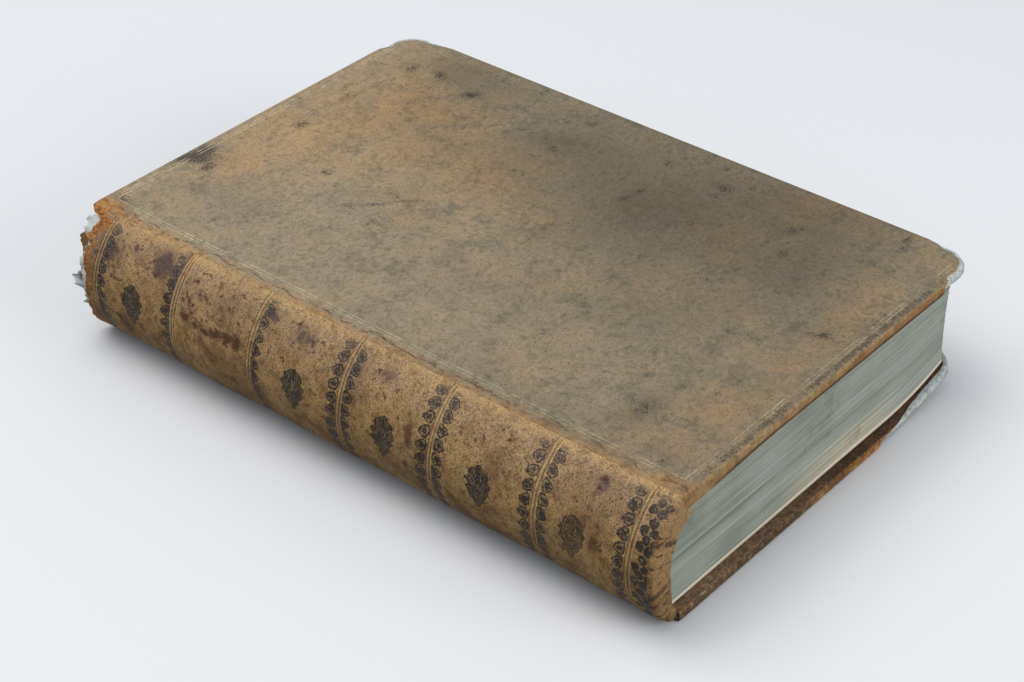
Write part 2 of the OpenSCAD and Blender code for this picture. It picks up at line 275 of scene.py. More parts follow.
def coverLeather(side, fieldsOf, swellSeed):
    # The leather of one cover, folded over three edges of its board and turned in behind it
    stretch, ways, depths = foldPath()
    reach = stretch[-1]
    across = spread((0.0, 0.35), (2.6, 0.7), (9, 1.7), (wide - 14, 0.8), (wide - 8, 0.45),
            (wide + 5.4, 1.1), (wide + reach, 1))
    along = spread((-reach, 1.1), (-5.4, 0.45), (8, 0.8), (14, 1.7), (high - 14, 0.8), (high - 8, 0.45),
            (high + 5.4, 1.1), (high + reach, 1))
    grid = np.meshgrid(across, along, indexing="ij")
    shells = []
    for way, depth in zip(ways, depths):
        x, y, away = roundedSheet(*grid, stretch, way)
        shells.append([x, y, np.where(away > -coverFold["flat"], np.interp(away, stretch, depth), depth[0])])
    x, y, deep = shells[0]
    fields = fieldsOf(x, y, away, deep)
    lost = fields.pop("lost")
    dipIn = np.clip(1 - x / coverFold["shoulder"], 0, 1) ** 2 * coverFold["dip"]
    swell = most(1.2 + waves(swellSeed, 90, x, y), 0) * coverFold["swell"]
    deep = deep + (dipIn + swell * ramp(-away, 1, 9)) * ramp(deep, 1.2, 0.2)
    # Where the leather is lost it sinks under the board's surface, and the sunken part is cut away
    sunk = np.clip(lost, 0, 1)
    sink = coverFold["sink"] * sunk
    drop = sink + coverFold["thinned"] * ramp(lost, -2.5, 0)
    deep = deep + drop * ramp(away, 1.2, 0.0) - sink * ramp(away, 3.3, 3.9)
    inset = drop * ramp(away, -0.8, 0.8)
    pullX = least(wide - book["corner"] - x, 0)
    pullY = np.clip(y, book["corner"], high - book["corner"]) - y
    pull = most(np.hypot(pullX, pullY), 1e-6)
    shells[0] = x + inset * pullX / pull, y + inset * pullY / pull, deep
    sheets = []
    for x, y, z in shells:
        if side == "back":
            x = x - wornCorner(x, y)
            z = z + curl(x)
        else:
            # The leather is looser under the edge at the tail of the joint
            z = thick - z - looseCorner(x, y) * ramp(z, 0.8, coverDeep)
        sheets.append(np.stack([x, y, z], -1))
    keep = (sunk[:-1, :-1] + sunk[1:, :-1] + sunk[:-1, 1:] + sunk[1:, 1:]) / 4 < 0.93
    fields |= {"fold": ramp(away, -1.6, 0.4), "down": np.clip(deep / coverDeep, 0, 1),
            "torn": ramp(lost, -0.7, 0.1)}
    return makePiece(f"{side}_leather_sheet", *skin(*sheets, keep), fields, f"{side}_cover", "cover_leather",
            f"{side}_leather")


# Marks of the front cover: lasting tints, with painted shade in part of the dark spots and painted sheen in
# part of the pale ones, and small blue-black stains
frontMarks = {
    "warm": [(84, 212, 36, 26, 0.7), (100, 165, 26, 32, 0.75, 20), (82, 125, 18, 22, 0.45),
        (125, 210, 22, 26, 0.5), (50, 222, 22, 12, 0.5), (80, 12, 60, 10, 0.5), (142, 45, 14, 24, 0.45),
        (20, 20, 22, 16, 0.4), (62, 150, 10, 14, 0.3), (12, 214, 12, 20, 0.45), (112, 62, 22, 14, 0.25),
        (22, 60, 12, 14, 0.2)],
    "dark": [(114, 92, 24, 34, 0.75), (66, 58, 18, 24, 0.4, 20), (124, 138, 18, 20, 0.6),
        (140, 66, 16, 26, 0.3), (25, 32, 8, 6, 0.75), (85, 14, 14, 9, 0.3), (140, 198, 13, 26, 0.7),
        (112, 40, 22, 12, 0.45), (90, 100, 16, 18, 0.3), (122, 150, 14, 5, 0.4, -60),
        (60, 170, 30, 5, 0.3, -40), (30, 200, 12, 18, 0.4)],
    "pale": [(22, 100, 20, 38, 1.3), (62, 218, 12, 12, 0.4), (30, 62, 18, 22, 0.9), (78, 216, 18, 12, 0.6),
        (126, 12, 16, 7, 0.3), (52, 190, 8, 26, 0.5, -10)],
    "stain": [(41, 228, 5.4, 4.2, 1.3, -60), (46, 231, 4, 3, 1), (37, 232.5, 4, 2, 1),
        (38, 222.4, 2.2, 1.6, 1.2), (6, 229, 4.5, 2.6, 1, 60), (60.5, 189.7, 1.6, 1.4, 1.3),
        (131, 215.5, 3, 1.8, 1), (133, 204, 3.2, 1.8, 1.2, 50), (107, 224.5, 5, 1.6, 0.7, 10),
        (114.6, 217, 2.2, 1.4, 0.9, 20), (129, 187, 3.4, 2.4, 1.3, -50), (77.6, 218, 2.8, 2.2, 1),
        (101.7, 219, 4.4, 2.2, 0.7), (49.5, 171.5, 3.4, 0.6, 1, -40), (56, 164.5, 4.2, 0.7, 1, -44),
        (64.5, 157, 4.6, 0.7, 0.9, -48), (119, 142.5, 2.4, 1.4, 1, 60), (125, 150, 3, 1.2, 0.7, 50),
        (113, 104.5, 6.5, 0.9, 1, -8), (136, 107, 2, 1.6, 0.8), (135, 85, 2.6, 3.4, 0.8),
        (145, 91, 1.6, 1.2, 0.9), (21, 66, 1.2, 0.9, 1.1), (114, 47.5, 2.6, 1.5, 0.9, 50),
        (127.5, 52.5, 3.4, 2.8, 0.8), (83.7, 17.4, 2.4, 0.8, 1.1, -75), (86, 13.4, 2.2, 1.7, 1.5, -60),
        (102, 5, 2, 1, 0.9), (144, 22, 6, 0.7, 1.2, 14), (25, 32.4, 4.4, 3, 0.6), (42.5, 21, 1.2, 0.9, 1),
        (9, 14, 1.8, 1.2, 1, 30), (95, 23, 1.3, 0.9, 1), (73, 96, 1.4, 1, 0.7), (52, 96, 1.2, 0.8, 0.7),
        (30, 152, 1, 0.8, 0.8)],
}


def cornerLoss(x, y, away, deep, byTail, byFore, fade=0.35):
    # How far inside the lost leather of a corner a point lies: it fades along the tail edge and the
    # fore-edge over the two lengths
    near = ramp(wide - book["corner"] - x, byTail, byTail * fade) * ramp(y - book["corner"], byFore, 0)
    return ((deep + 2.0) * near - 2.0 - most(-away, 0)) / 0.8


def frayedLine(seed, x, y):
    # The ragged line at which leather is lost: a coarse and a fine swell
    return 0.4 * waves(seed, 4.5, x, y) + 0.25 * waves(seed + 1, 1.7, x, y)


def frontFields(x, y, away, depth):
    # Marks and lost corners of the front cover
    fields = {kind: spots(x, y, marks) for kind, marks in frontMarks.items()}
    tail = cornerLoss(x, y, away, 2.2, 12, 9)
    head = cornerLoss(x, high - y, away, 2.4, 8, 14)
    fields["lost"] = most(tail, head) + frayedLine(11, x, y)
    # Painted light and shade, partly the leather's own tone: lighter towards the head, a painted sheen, and
    # darker towards the tail and on the fore-edge side, painted shade
    foreSide = ramp(x + 8 * waves(14, 60, x, y), 62, 108) * ramp(y, 228, 190) * ramp(y, 6, 40)
    fields["shade"] = 0.71 + 0.22 * ramp(y + 12 * waves(13, 90, x, y), 60, 215) - 0.19 * foreSide
    return fields


def backFields(x, y, away, depth):
    # Marks and lost corners of the back cover, and the bare strip along its tail
    fields = {
        "warm": 0.35 + 0.3 * waves(31, 80, x, y),
        "dark": np.clip(0.2 + 0.4 * waves(32, 55, x, y), 0, 1),
        "pale": np.clip(0.3 * waves(33, 70, x, y), 0, 1),
        "shade": 0.82 + 0.1 * waves(36, 80, x, y),
        "stain": spots(x, y, [(40, 60, 9, 6, 0.9, 20), (105, 170, 14, 7, 0.8, 60), (70, 205, 4, 3, 0.8),
            (120, 40, 6, 3, 0.8)]),
    }
    tail = cornerLoss(x, y, away, 2.6, 40, 12, 0.88)
    head = cornerLoss(x, high - y, away, 2.4, 7, 7) - 4 * ramp(depth, 3.3, 3.9)
    # The strip widens up the board's edge towards the corner, and there runs over its inner edge
    top = 1.5 + 3.7 * ramp(x, 100, 128)
    tail -= 6 * ramp(away, top - 0.5, top + 0.7)
    fields["lost"] = most(tail, head) + frayedLine(34, x, y)
    return fields


frontLeather = coverLeather("front", frontFields, 21)
backLeather = coverLeather("back", backFields, 22)

boardLook = {
    "arris": 0.95,  # radius of its worn edges
    "fray": 0.16,
    "swollen": 0.3,  # how far bare pasteboard has swollen
    "step": 3.2,  # size of the mesh away from the edges
}


def pasteboard(side, seed):
    # A board: half its thickness on either side of its middle sheet, rounded and frayed at the free edges
    step, swollen, r = boardLook["step"], boardLook["swollen"], boardLook["arris"]
    half, inEdge, flat = book["board"] / 2, book["leather"] - swollen, coverFold["flat"]
    across = spread((book["jointGap"], step), (wide - 24, 1.6), (wide - 12, 0.45), (wide, 1))
    along = spread((0, 0.45), (12, 1.6), (24, step), (high - 24, 1.6), (high - 12, 0.45), (high, 1))
    x, y, away = roundedSheet(*np.meshgrid(across, along, indexing="ij"), [-flat, 0], [flat, inEdge])
    deep = most(-away, 0)
    edgeIn = np.clip(r - deep * (flat - inEdge) / flat, 0, r)
    thin = half - r + root(r ** 2 - edgeIn ** 2)
    near = ramp(deep, 4, 0.5)
    fray = boardLook["fray"] * near * (waves(seed, 1.3, x, y) + 0.7 * waves(seed + 1, 3.2, x, y))
    corner = book["corner"]
    tip = np.hypot(most(x - wide + corner, 0), most(most(corner - y, y - high + corner), 0))
    bare = ramp(tip, 6.5, 9)
    if side == "back":
        bare = most(bare, ramp(x, 98, 106) * ramp(y, 16, 8))
    up, low = thin + (fray + 0.7 * swollen) * bare, thin + fray * bare * 0.8
    x = x + 0.14 * bare * near * waves(seed + 2, 2.4, x, y)
    y = y + 0.14 * bare * near * waves(seed + 3, 2.4, x, y)
    if side == "back":
        x = x - wornCorner(x, y)
        centre = book["leather"] + half + curl(x)
    else:
        centre = thick - book["leather"] - half
    sheet = skin(np.stack([x, y, centre + up], -1), np.stack([x, y, centre - low], -1))
    return makePiece(f"{side}_pasteboard", *sheet, {"bare": bare}, f"{side}_cover", "pasteboard",
            f"{side}_board", 60)


frontBoard, backBoard = pasteboard("front", 41), pasteboard("back", 51)

tooling = {
    # Rows of beads up from the tail, the start of each in beads, and the side its leaves point to
    "rows": [12.1, 39.0, 45.2, 77.5, 83.7, 113.4, 119.4, 151.0, 190.0, 219.5],
    "shifts": [0, 0.5] * 4 + [0, 0.3],
    "outward": [1, -1] * 5,
    "beadPitch": 4.4, "beadLong": 4.0, "beadWide": 4.1, "taper": 0.34, "slant": 0.3,
    "lines": [8.4, 9.7, 41.4, 42.8, 80.0, 81.2, 115.8, 117.1, 153.3, 154.6, 186.0, 187.2, 188.4, 222.0,
        223.3],
    "lineWide": 0.42,
    "reach": 25.6,  # half the length of a row, round the spine
    "clusterPitch": 11.0, "clusterStart": 0.28,
    "clusterTop": 8.9,  # the wide roll at the tail lies below this height
    "clusterDots": [(-3.6, 6.2, 1.45), (-3.9, 3.0, 1.6), (-1.1, 4.7, 1.35), (-1.5, 1.9, 1.25),
        (1.2, 6.2, 1.4), (1.3, 3.0, 1.35), (3.9, 4.2, 1.5)],
    "fleurons": [28.1, 62.1, 98.5, 134.9, 205.5], "fleuronInk": [0.85] + [1.0] * 4,
    "fleuronMiddle": 3.8, "fleuronLong": 17.6, "fleuronWide": 8.8,
    "depth": 0.13,
}


def beadDistance(u, y):
    # How far a point lies from the middle of its bead, 1 at the bead's outline
    row, start, outward = (pick(y, tooling["rows"], tooling[key]) for key in ("rows", "shifts", "outward"))
    across = (y - row) * outward * (2 / tooling["beadWide"])
    along = offMiddle(u + start * tooling["beadPitch"] + across * tooling["slant"], tooling["beadPitch"])
    along = size(along) * (2 / tooling["beadLong"]) / most(1 - across * tooling["taper"], 0.2)
    return root(along * along + across * across)


def clusterDistance(u, y):
    # The same for the clusters of the wide roll at the tail: the nearest of their dots
    along = offMiddle(u + tooling["clusterStart"] * tooling["clusterPitch"], tooling["clusterPitch"])
    nearest = 9.0
    for a, b, r in tooling["clusterDots"]:
        nearest = least(nearest, (power(size(along - a), 2) + power(size(y - b), 2)) * (1 / r ** 2))
    return root(nearest)


def fleuronInside(u, y):
    # How far inside a fleuron a point lies: a pointed oval with lobed sides, a neck and a bead on top
    t = (u - tooling["fleuronMiddle"]) / (tooling["fleuronLong"] / 2)
    across = size(y - pick(y, tooling["fleurons"], tooling["fleurons"]))
    neck = ramp(size(t - 0.68), 0.12, 0.02)
    lobes = 0.92 + 0.1 * sine(t * 19 + 1.2)
    width = (1 - power(size(t + 0.06), 1.5)) * lobes * (1 - 0.6 * neck) * 1.12 - 0.2 * ramp(t, 0.35, 0.62)
    return width * (tooling["fleuronWide"] / 2) - across


def lineInside(y):
    # How far inside the nearest fillet line a point lies
    return tooling["lineWide"] / 2 - size(y - pick(y, tooling["lines"], tooling["lines"]))


spineLook = {
    # Torn head: degrees round the spine, up from the middle, and height of the leather
    "tear": [(-62, 231.4), (-55, 230.4), (-48, 231.2), (-42, 229.4), (-37, 230.2), (-28, 228.6), (-18, 227.6),
        (-9, 226.6), (-2, 227.2), (4, 226.2), (10, 227.1), (21, 228.2), (28, 229.1), (33, 228.2),
        (39, 229.6), (46, 229.3), (51, 228.2), (53.5, 228.6), (55.5, 231.8), (57.5, 233.7), (62, 233.4)],
    "swell": 0.16,
    "crease": 0.2,
    "step": 0.6,
    # How deep the folded cap is, in shares of capDepth, over the degrees round the spine
    "capTaper": [(-62, 0.3), (-52, 0.36), (-40, 0.55), (-22, 1.0), (-7, 1.1), (30, 1.1), (62, 1.0)],
    "loose": 1.4,  # drop of the cap's upper end
    "endRise": 1.6,  # of its lower end
    "tuck": 0.6,  # how far its upper end goes in behind the board's edge
}
# Marks of the spine leather, placed round the spine and up from the tail
spineMarks = {
    "purple": [(20, 196, 5, 4.2, 1.7), (17, 219, 5, 7, 1), (20.6, 208.8, 1.8, 1.4, 1.2),
        (21, 150, 3, 3.4, 1.2), (19.6, 135, 4, 6, 1), (18.3, 112, 3.4, 4.5, 0.8), (21, 102, 2.6, 3, 1),
        (21, 23, 3.6, 3, 0.8), (22, 60, 2, 1.8, 0.7), (15.5, 178, 4.5, 9, 0.6), (16, 165, 3, 5, 0.5),
        (22, 47, 3, 3, 0.4), (8, 222, 5, 4, 0.6), (18, 189, 8, 4, 0.5)],
    "red": [(8, 89, 3.8, 1.8, 1.2), (-2.9, 89.2, 2.2, 1.4, 1.1), (5.1, 74.3, 1.6, 1.1, 0.6),
        (6, 20.2, 6, 3, 0.7), (14, 90, 4, 5, 0.5), (-5.3, 201.5, 2.6, 1.6, 0.7), (10, 108, 3, 2, 0.4),
        (-8, 210, 10, 3, 0.9), (-12, 70, 5, 3, 0.5), (-10, 30, 5, 4, 0.5)],
    "smear": [(7.9, 181.5, 1.6, 2, 1.3), (6.9, 177.2, 1.4, 1.8, 1.1), (6.4, 172.5, 1.5, 2.2, 1.2),
        (7.3, 168, 1.6, 2, 1.3), (7.9, 163.5, 1.4, 2, 1.1), (8, 159, 2.6, 1.9, 1.4),
        (12, 181, 2.4, 1.4, 0.6), (3, 168, 1.8, 1.4, 0.5), (-4.6, 213.4, 1, 3.2, 0.9),
        (5.7, 15.9, 0.7, 0.7, 1.1)],
    "capMarks": [(13, 1, 2, 4, 1.2), (9, 1, 0.5, 4, 1), (5, 1, 0.6, 4, 0.9), (-1, 1, 0.5, 4, 0.9),
        (-5.5, 1, 1.4, 4, 1.3), (-9, 1, 0.5, 4, 0.9), (-12, 1, 0.6, 4, 1), (-15.4, 1, 0.5, 4, 0.9),
        (-18.6, 1, 0.7, 4, 1.2), (-20.6, 1, 0.4, 4, 1.2), (-22.4, 1, 0.5, 4, 1.3), (-24.4, 1, 0.5, 4, 1.2)],
    "dull": [(15, 172, 9, 14, 0.8), (14, 220, 9, 8, 0.5), (8, 20, 10, 7, 0.3)],
}


def tornHeight(angle, line, seed, coarse, fine):
    # Height of a torn edge over the angle round the spine: the line, with a coarse and a fine fray
    arc = rad(angle) * spineRound
    return np.interp(angle, *zip(*line)) + coarse * waves(seed, 3.1, arc) + fine * waves(seed + 1, 1.1, arc)


def onSpine(radius, angle, y):
    # Point at a radius and an angle round the spine's axis
    return np.stack([spineAxis - radius * np.cos(rad(angle)), y, middle + radius * np.sin(rad(angle))], -1)


def spineLeather():
    # Its path runs down the wall, round the fold, along the cap and back up behind the liner, and is
    # carried round the spine's axis. Arrays hold the outer and the inner face.
    t, f, capHigh = (book[key] for key in ("spineLeather", "foldRadius", "capHigh"))
    r = spineRound
    lip = capHigh / 2
    lipAt = r - book["capDepth"] + lip
    behind = r - t - book["linerPaper"] - 2 * book["paste"]
    turn, rounds = rad(np.linspace(0, 90, 8))[1:], rad(np.linspace(270, 90, 11))
    wall = np.linspace(high, f, int((high - f) / spineLook["step"]))
    under = np.linspace(r - f, lipAt, 9)[1:-1]
    back = np.linspace(lipAt, behind - book["turnedIn"], 6)[1:]
    ups = np.linspace(capHigh, capHigh + 12, 9)[1:]
    k = np.linspace(0.1, 1, 5)
    radius, y = [], []
    for deep in (0, t):
        radius.append(np.r_[wall * 0 + r - deep, r - f + (f - deep) * np.cos(turn), under,
                lipAt + (lip - deep) * np.cos(rounds), back + deep / t * (behind - back) * k,
                ups * 0 + behind - (1 - deep / t) * book["turnedIn"]])
        y.append(np.r_[wall, f - (f - deep) * np.sin(turn), under * 0 + deep,
                lip + (lip - deep) * np.sin(rounds), capHigh - deep * (1 - 0.5 * k ** 2), ups])
    radius, y = np.array(radius)[..., None], np.array(y)[..., None]

    # The last columns bend in, to end level with the dip of the covers' leather
    endX, endZ = spineAxis + 0.02, middle - 0.4
    limit = np.degrees(np.arctan2(endZ, endX))
    bendIn = r - np.hypot(endX, endZ)
    angle = np.linspace(-limit, limit, int(2 * rad(limit) * r / spineLook["step"]))
    head = tornHeight(angle, spineLook["tear"], 61, 0.45, 0.3)
    row = np.arange(y.shape[1])[:, None]
    walls, folds = len(wall), len(wall) + len(turn)
    onWall, inCap = row < walls, row >= folds
    u = rad(angle) * r + 0 * row
    face = np.array([0, 1])[:, None, None]  # outer, inner
    y = np.where(onWall, y + (head - high - 0.35 + 0.6 * face) * ramp(y, high - 26, high), y)
    up = y[0]
    ends = ramp(size(angle), limit, limit - 6)
    swell = spineLook["swell"] * (waves(62, 34, u, up) + 0.45 * waves(63, 9, u, up)) * ends * onWall
    stamps = np.where(up > 10.6, ramp(beadDistance(u, up), 1.05, 0.8),
            ramp(clusterDistance(u, up), 1.1, 0.8) * (up < 8)) * (size(u) < tooling["reach"])
    stamps = most(stamps, ramp(fleuronInside(u, up), -0.2, 0.4))
    pressed = most(stamps * 0.8, ramp(lineInside(up), -0.3, 0.1)) * onWall * ramp(up, 0.6, 2)
    # Creases across the folded cap, and a curl of the torn head
    capped = ramp(up, 6.5, 1.5) * (row < folds + 12)
    creases = spineLook["crease"] * capped * ends
    creases = creases * (waves(64, 6.5, u) + 0.4 * waves(65, 2.2, u + 0.3 * up, up))
    curled = 0.5 * ramp(head - up, 3.5, 0.2) * (0.3 + waves(66, 7, u)) * onWall * ends
    bent = bendIn * ramp(size(angle), limit - 5, limit)
    pressed = pressed * tooling["depth"] * (1 - 0.7 * face)
    radius = radius + swell + curled - bent - pressed + creases * (1 - 0.5 * face)
    # The folded cap is narrow at its lower end, and its ends are tucked in beside the boards
    tight = 1 - 0.4 * ramp(size(angle), 46, limit)
    y = np.where(y > f, y - f * (1 - tight) * ramp(y, 14, f), np.where(inCap, y, y * tight))
    radius = np.where(onWall | inCap, radius, r - (r - radius) * tight)
    taper = np.interp(angle, *zip(*spineLook["capTaper"]))
    radius = np.where(inCap, r - f * tight - (r - f - radius) * taper, radius)
    wider = angle * (1 + 0.035 * ramp(row, walls - 1, folds + 3))
    raised = spineLook["endRise"] * ramp(angle, -48, -60) * ramp(y[0], 14, 0)
    y = y + raised + spineLook["tuck"] * ramp(angle, limit - 3, limit) * ramp(row, walls, walls + 4)
    up = y[0]
    torn = ramp(head - up + 0.9 * waves(67, 2.4, u, up) - 4 * ramp(u, 17, 25), 4.4, 0.7) * onWall
    fields = {kind: spots(u, up, marks) for kind, marks in spineMarks.items()}
    fields |= {"round": u, "up": up, "torn": torn, "cap": ramp(up, 2.6, 0.9),
            "joint": ramp(size(u), r * rad(limit) - 5, r * rad(limit))}
    sheets = onSpine(radius, wider, y)
    sheets[..., 2] -= spineLook["loose"] * ramp(angle, 36, 56) * ramp(row, walls + 2, folds + 6)
    return makePiece("spine_leather_sheet", *skin(*sheets), fields, "leaves", "spine_leather",
            "spine_leather")


spineSheet = spineLeather()

linerLook = {
    # Ragged head of the liner, with the white scraps that stand up behind the torn leather
    "tear": [(-56, 231.2), (-48, 232), (-41, 232.8), (-36, 230.2), (-28, 228.6), (-18, 230.6), (-10, 229),
        (-4, 229.6), (1, 232.2), (4, 234), (7, 231.5), (12, 229.6), (18, 231), (24, 229.8),
        (30, 231.4), (35, 233), (41, 232.2), (45, 232.6), (49, 233.8), (52, 232.4), (56, 232)],
    "lean": 0.9,
    "glue": [(14, 231.5, 4, 2.2, 1.2), (-10, 230, 4, 1.6, 0.7), (3, 229.5, 3, 1, 0.6)],
}


def spineLiner():
    # A thin sheet round the spine inside the leather, its scraps leaning out over the torn edge
    far = spineRound - book["spineLeather"] - book["paste"]
    limit = np.degrees(np.arcsin((middle - 0.3) / spineRound)) - 6
    angle = np.linspace(-limit, limit, 120)
    head = tornHeight(angle, linerLook["tear"], 71, 0.5, 0.35)
    low = book["capHigh"] + book["paste"]
    part = np.r_[np.linspace(0, 0.9, 24), np.linspace(0.9, 1, 40)[1:]][:, None]
    y = low + part * (head - low)
    u = rad(angle) * far + 0 * y
    free = np.clip(y - np.interp(angle, *zip(*spineLook["tear"])) - 0.3, 0, 6)
    lean = linerLook["lean"] * (free / 4) ** 1.3 * (1 + 0.8 * waves(72, 6, u))
    crumple = 0.12 * np.clip(free, 0, 1) * waves(73, 2.4, u, y)
    half = book["linerPaper"] / 2
    mid = far - half + lean + crumple
    half = half * np.where(part > 0.985, 0.45, 1.0)
    sheet = skin(onSpine(mid + half, angle, y), onSpine(mid - half, angle, y))
    fields = {"glue": spots(u, y, linerLook["glue"])}
    return makePiece("spine_liner_sheet", *sheet, fields, "leaves", "liner_paper", "spine_liner")


linerSheet = spineLiner()

leavesLook = {
    "hollow": 1.0,  # of the fore-edge
    "joint": 0.1,  # where the straight block starts
    "rounded": 0.35,  # worn off its upright edges
    "groove": 0.2,  # between two sections
    "ridge": 0.07,  # between leaves
    "section": 2.25,  # mean thickness of a section
    # Dark lines of painted shade where sections part: height in the leaves, start and end along the tail,
    # strength
    "parted": [(15.6, -5, 52, 0.9), (10.2, -5, 44, 0.5), (16.4, 60, 110, 0.45), (24.5, 30, 90, 0.3),
        (7.4, 70, 130, 0.35), (30.2, 80, 140, 0.3)],
}


def leafRelief(leaf, along):
    # How far the cut edge of the leaves stands back: rounded sections of uneven thickness, single leaves
    drift = leaf + 0.5 * waves(81, 9, leaf) + 0.05 * waves(82, 60, along, leaf)
    phase = drift / leavesLook["section"]
    rounds = (2 * (phase - whole(phase)) - 1) ** 8
    return leavesLook["groove"] * rounds + leavesLook["ridge"] * (waves(83, 1.1, leaf, along * 0.01) + 1)


def leaves():
    # The leaves between the two fly leaves: a round back with shoulders from -1 to 0, a straight block
    # from 0 to 1 up to the hollow fore-edge. Six faces share the three parameters, so their edges meet.
    shoulder = leavesHigh[2] - middle
    lowLeaf = boxOf("back_flyleaf")[0][2] + 0.22
    blockHigh = boxOf("front_flyleaf")[0][2] - 0.02 - lowLeaf
    backRound = spineAxis - (leavesLow[0] - shift[0])
    tail, head = leavesLow[1] - shift[1], leavesHigh[1] - shift[1]
    joint = leavesLook["joint"]
    ranges = (np.r_[-1, -0.5, 0.0, spread((1e-9, 0.01), (1, 1))], np.linspace(0, 1, 150),
            spread((0, 0.012), (1, 1)))

    def place(p, q, k):
        # The point at p from back to fore-edge, q from bottom to top and k from tail to head
        across = 2 * q - 1
        backX = spineAxis - root(most(backRound ** 2 - (across * shoulder) ** 2, 1))
        backX = least(backX, joint - 0.4)
        foreX = leavesWide - leavesLook["hollow"] * (1 - across ** 2)
        x = joint + np.where(p <= 0, -p * (backX - joint), p * (foreX - joint))
        leaf = q * blockHigh
        rise = curl(x)
        z = np.where(p <= 0, middle + across * shoulder, lowLeaf + rise + q * (blockHigh - rise))
        y = tail + k * (head - tail) + (k == 0) * leafRelief(leaf, x) - (k == 1) * leafRelief(leaf + 1.1, x)
        x = x - (p == 1) * (leafRelief(leaf + 0.6, y) + leavesLook["rounded"] * ((k == 0) | (k == 1)))
        return np.stack([x, y, z], -1), leaf

    # Each face: the parameter that stays, its value, and the two that vary
    points, faces, heights, start = [], [], [], 0
    for fixed, value, *varied in ((2, 0, 0, 1), (2, 1, 0, 1), (0, -1, 2, 1), (0, 1, 2, 1), (1, 0, 0, 2),
            (1, 1, 0, 2)):
        at = [value] * 3
        for way, grid in zip(varied, np.meshgrid(*(ranges[way] for way in varied), indexing="ij")):
            at[way] = grid
        at[fixed] = value + 0 * grid
        grid, leaf = place(*at)
        index = start + np.arange(leaf.size).reshape(leaf.shape)
        quads = np.stack([index[:-1, :-1], index[1:, :-1], index[1:, 1:], index[:-1, 1:]], -1).reshape(-1, 4)
        faces.append(quads[:, ::-1] if (value <= 0) != (fixed == 2) else quads)
        points.append(grid.reshape(-1, 3))
        heights.append(leaf.ravel())
        start += leaf.size
    points, faces, heights = np.concatenate(points), np.concatenate(faces), np.concatenate(heights)
    # Points that two faces share become one
    _, kept, same = np.unique(np.round(points, 4), axis=0, return_index=True, return_inverse=True)
    return makePiece("leaves_block", points[kept], same.ravel()[faces], {"leaf": heights[kept]},
            "leaves", "leaves", "text_block", 40)


leavesBlock = leaves()
print("meshes made")


def colours(**picked):
    # Colours picked on a 0 to 255 scale, as Blender's linear values
    part = np.array([*picked.values()]) / 255
    linear = np.where(part > 0.04045, ((part + 0.055) / 1.055) ** 2.4, part / 12.92)
    return {name: (*colour, 1.0) for name, colour in zip(picked, linear.tolist())}


class Paint:
    # The nodes of a material or the world. A colour is a name in the look, a value or a wire.
    def __init__(self, owner, look, base, shader):
        self.owner, self.look, self.colour, owner.use_nodes = owner, look, base, True
        self.tree = owner.node_tree
        self.shader = self.tree.nodes[shader]

    def node(self, kind, settings, sockets, output=0):
        # Makes a node from its type, its settings and the values or links of its sockets
        made = self.tree.nodes.new("ShaderNode" + kind)
        for key, value in settings.items():
            setattr(made, key, value)
        self.feed(made, sockets)
        return Wire(self, made.outputs[output])

    def feed(self, node, sockets):
        # Links wires to sockets of a node, and sets the other values there
        for key, value in sockets.items():
            if isinstance(value, Wire):
                self.tree.links.new(value.socket, node.inputs[key])
            else:
                node.inputs[key].default_value = value

    def math(self, operation, *values):
        # A Math node
        return self.node("Math", {"operation": operation}, dict(enumerate(values)))

    def mix(self, part, first, second):
        # From the first colour to the second as the part goes from 0 to 1
        first, second = (self.look[c] if isinstance(c, str) else c for c in (first, second))
        return self.node("Mix", {"data_type": "RGBA", "clamp_factor": True},
                {0: part, 6: first, 7: second}, 2)

    def lay(self, colour, part, start=None, end=None, share=1.0):
        # Lays a colour over the others: by a part, or by a share as the part goes from start to end
        if start is not None:
            part = ramp(part, start, end) * share
        self.colour = self.mix(part, self.colour, colour)

    def scaled(self, colour, amount):
        # A colour or a vector times a number
        return self.node("VectorMath", {"operation": "SCALE"}, {0: colour, "Scale": amount})

    def fields(self, names):
        # Values stored on the piece's points
        return [self.node("Attribute", {"attribute_name": name}, {}, 2) for name in names.split()]

    def place(self):
        # The three Object coordinates in millimetres
        self.at = self.scaled(self.node("TexCoord", {}, {}, 3), 1000)
        return [self.node("SeparateXYZ", {}, {0: self.at}, k) for k in range(3)]

    def joined(self, x, y, z=0.0):
        # A vector of three numbers
        return self.node("CombineXYZ", {}, {0: x, 1: y, 2: z})

    def noise(self, length, detail=2.0, rough=0.5, at=None, bent=0.0):
        # Noise round 0 whose blobs are about that long
        return self.node("TexNoise", {}, {
            "Vector": at or self.at, "Scale": 1 / length, "Detail": detail, "Roughness": rough,
            "Distortion": bent}) - 0.5

    def finish(self, bright, height, strength, deep):
        # The colour times its brightness, and a bump whose height is in steps of the given depth
        bump = self.node("Bump", {}, {"Height": height, "Strength": strength, "Distance": deep / 1000})
        self.feed(self.shader, {"Base Color": self.scaled(self.colour, bright), "Normal": bump})
        return self

    def onto(self, *pieces):
        # Puts the material on every slot of the pieces
        for piece in pieces:
            if not piece.material_slots:
                piece.data.materials.append(None)
            for slot in piece.material_slots:
                slot.material = self.owner


def newPaint(name, look, base, roughness=0.9, gloss=0.2):
    # A material with a base colour to lay others on
    paint = Paint(bpy.data.materials.new(name), look, base, "Principled BSDF")
    paint.feed(paint.shader, {"Roughness": roughness, "Specular IOR Level": gloss})
    return paint


def speckle(paint, fine, coarse):
    # Suede-like grain: its brightness round 1, and its fine grains and coarser mottle round 0
    grains = ramp(paint.noise(0.52, 2, 0.6), -0.18, 0.18) - 0.5
    blots = paint.noise(1.8, 3, 0.65)
    return 1 + grains * fine + blots * coarse, grains, blots


